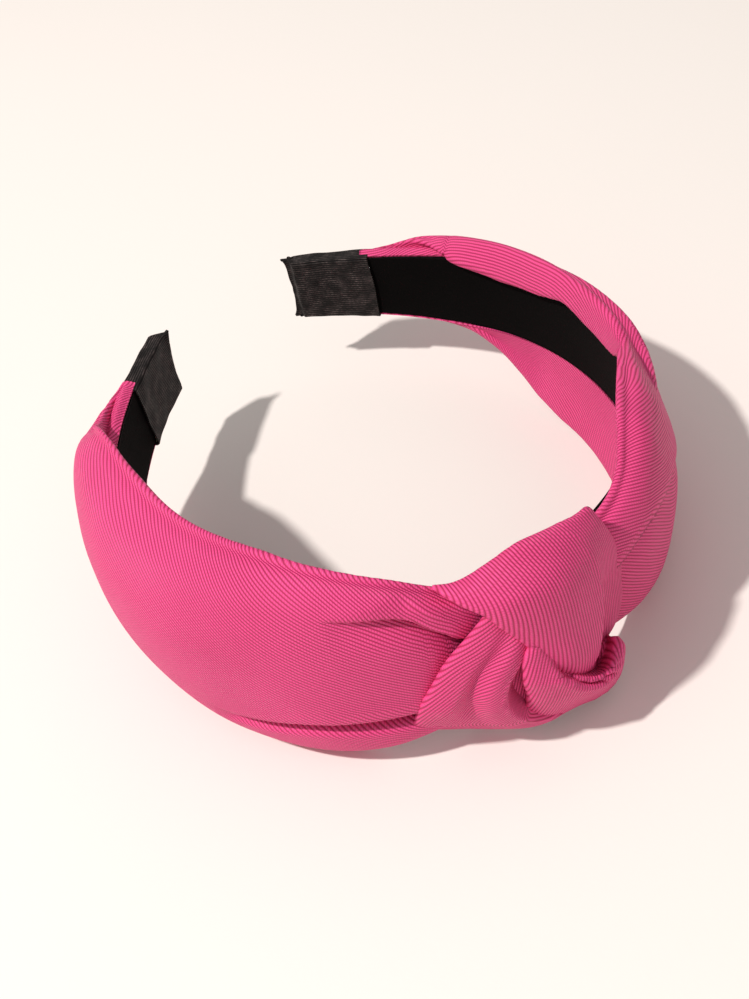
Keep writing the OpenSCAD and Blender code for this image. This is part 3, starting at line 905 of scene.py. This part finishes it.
def end_wrap(side, material):
    """A ribbon wound once round the tip and flattened beyond the core, with its corners standing
    out. The left one's top corner curls in."""
    name = "left" if side == LEFT else "right"
    curl, reach = (2.6, 1.4) if side == LEFT else (0.0, 2.3)
    tip = HALF_LENGTH + 0.4
    n_turn, z_turn, turn = wrap_loop(220, 0.55)
    n_turn, z_turn, turn = n_turn[None, :], z_turn[None, :], turn[None, :]
    end = HALF_LENGTH + reach + 1.2 * np.abs(z_turn) ** 5 + 0.15 * np.sin(9 * turn)
    start = WRAP_START - 1.1 + 0.3 * np.sin(2.1 * turn + side) + 0.15 * np.sin(5.3 * turn)
    t = np.linspace(0, 1, 80)[:, None]
    a = start + (end - start) * t
    pinch = np.clip((a - tip) / 1.4, 0, 1)
    pinch = pinch * pinch * (3 - 2 * pinch)
    lap = 0.3 * np.clip((turn - 3.7) / 0.4, 0, 1)
    thick = (2.3 + lap) * (1 - pinch) + 0.5 * pinch
    h = half_width(a) + 0.75 + 0.5 * pinch * np.abs(z_turn) ** 3
    n = 1.5 + n_turn * thick - curl * pinch * (1 + z_turn) / 2
    grid = crumple(place(side * a, n, h * z_turn), 5, 0.3, 6 + side)
    middle = np.broadcast_to(turn.mean() - turn, grid.shape[:2])
    weave = ribs_at(*flattened(grid, middle), 0)
    piece = cloth(f"{name}_end_ribbon", grid, weave, 0.4, flip=side == RIGHT)
    piece.data.materials.append(material)
    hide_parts(f"{name}_end_wrap")


# ---------------------------------------------------------------- scene

def paint_cad_nodes():
    """Materials for the CAD pieces that stay as they are."""
    plastic, glue = plastic_material(), glue_material()
    for name, obj in frame["nodes"].items():
        if name == "core_band":
            chosen = plastic
        elif name.endswith("adhesive"):
            chosen = glue
        else:
            continue
        obj.data.materials.clear()
        obj.data.materials.append(chosen)


def floor():
    """A plain sheet of paper under the hoop."""
    size = 3.0
    mesh = bpy.data.meshes.new("floor")
    low = CAD_BOX[0][2] - 0.0004
    corners = [(-size, -size, low), (size, -size, low), (size, size, low), (-size, size, low)]
    mesh.from_pydata(corners, [], [(0, 1, 2, 3)])
    obj = bpy.data.objects.new("floor", mesh)
    obj.data.materials.append(floor_material())
    bpy.context.scene.collection.objects.link(obj)


def aim(obj, direction, up):
    """Turns a camera or a light to look along direction."""
    back = -Vector(direction).normalized()
    side = Vector(up).cross(back).normalized()
    top = back.cross(side)
    rotation = Matrix((side, top, back)).transposed()
    obj.matrix_world = Matrix.Translation(obj.matrix_world.translation) @ rotation.to_4x4()


def camera():
    """The photographer's view, fitted to the photo: from the knot's left, looking down, rolled
    a little."""
    azimuth, elevation, roll = (math.radians(x) for x in (-24.8, 45.3, -14.1))
    distance = 0.3202
    target = Vector((-0.0093, -0.0114, 0))
    back = Vector((math.sin(azimuth) * math.cos(elevation),
                   -math.cos(azimuth) * math.cos(elevation), math.sin(elevation)))
    data = bpy.data.cameras.new("camera")
    data.lens = 50.97
    data.sensor_width = 36.0
    data.clip_start = 0.01
    obj = bpy.data.objects.new("camera", data)
    bpy.context.scene.collection.objects.link(obj)
    obj.matrix_world = Matrix.Translation(target + back * distance)
    right = (-back).cross(Vector((0, 0, 1))).normalized()
    level_up = right.cross(-back)
    aim(obj, -back, level_up * math.cos(roll) - right * math.sin(roll))
    bpy.context.scene.camera = obj


def light(name, source, target, size, watts, colour):
    data = bpy.data.lights.new(name, "AREA")
    data.shape = "DISK"
    data.size = size
    data.energy = watts
    data.color = colour
    obj = bpy.data.objects.new(name, data)
    bpy.context.scene.collection.objects.link(obj)
    obj.matrix_world = Matrix.Translation(Vector(source))
    aim(obj, Vector(target) - Vector(source), (0, 0, 1))


def lights():
    """A small warm key from the left, and an even pale surround."""
    travel = Vector((0.54, -0.02, -0.84)).normalized()
    light("key", -travel * 1.6, (0, 0, 0), 0.08, 23.5, (1.0, 0.965, 0.93))
    world = bpy.data.worlds.new("surround")
    world.use_nodes = True
    background = world.node_tree.nodes["Background"]
    background.inputs["Color"].default_value = (1.0, 0.975, 0.96, 1)
    background.inputs["Strength"].default_value = 0.48
    bpy.context.scene.world = world
    bpy.context.scene.view_settings.view_transform = "Standard"


camera()
lights()
floor()
paint_cad_nodes()
twill = twill_material()
left_wing(twill)
right_wing(twill)
knot(twill)
lining(velvet_material())
grosgrain = grosgrain_material()
end_wrap(LEFT, grosgrain)
end_wrap(RIGHT, grosgrain)
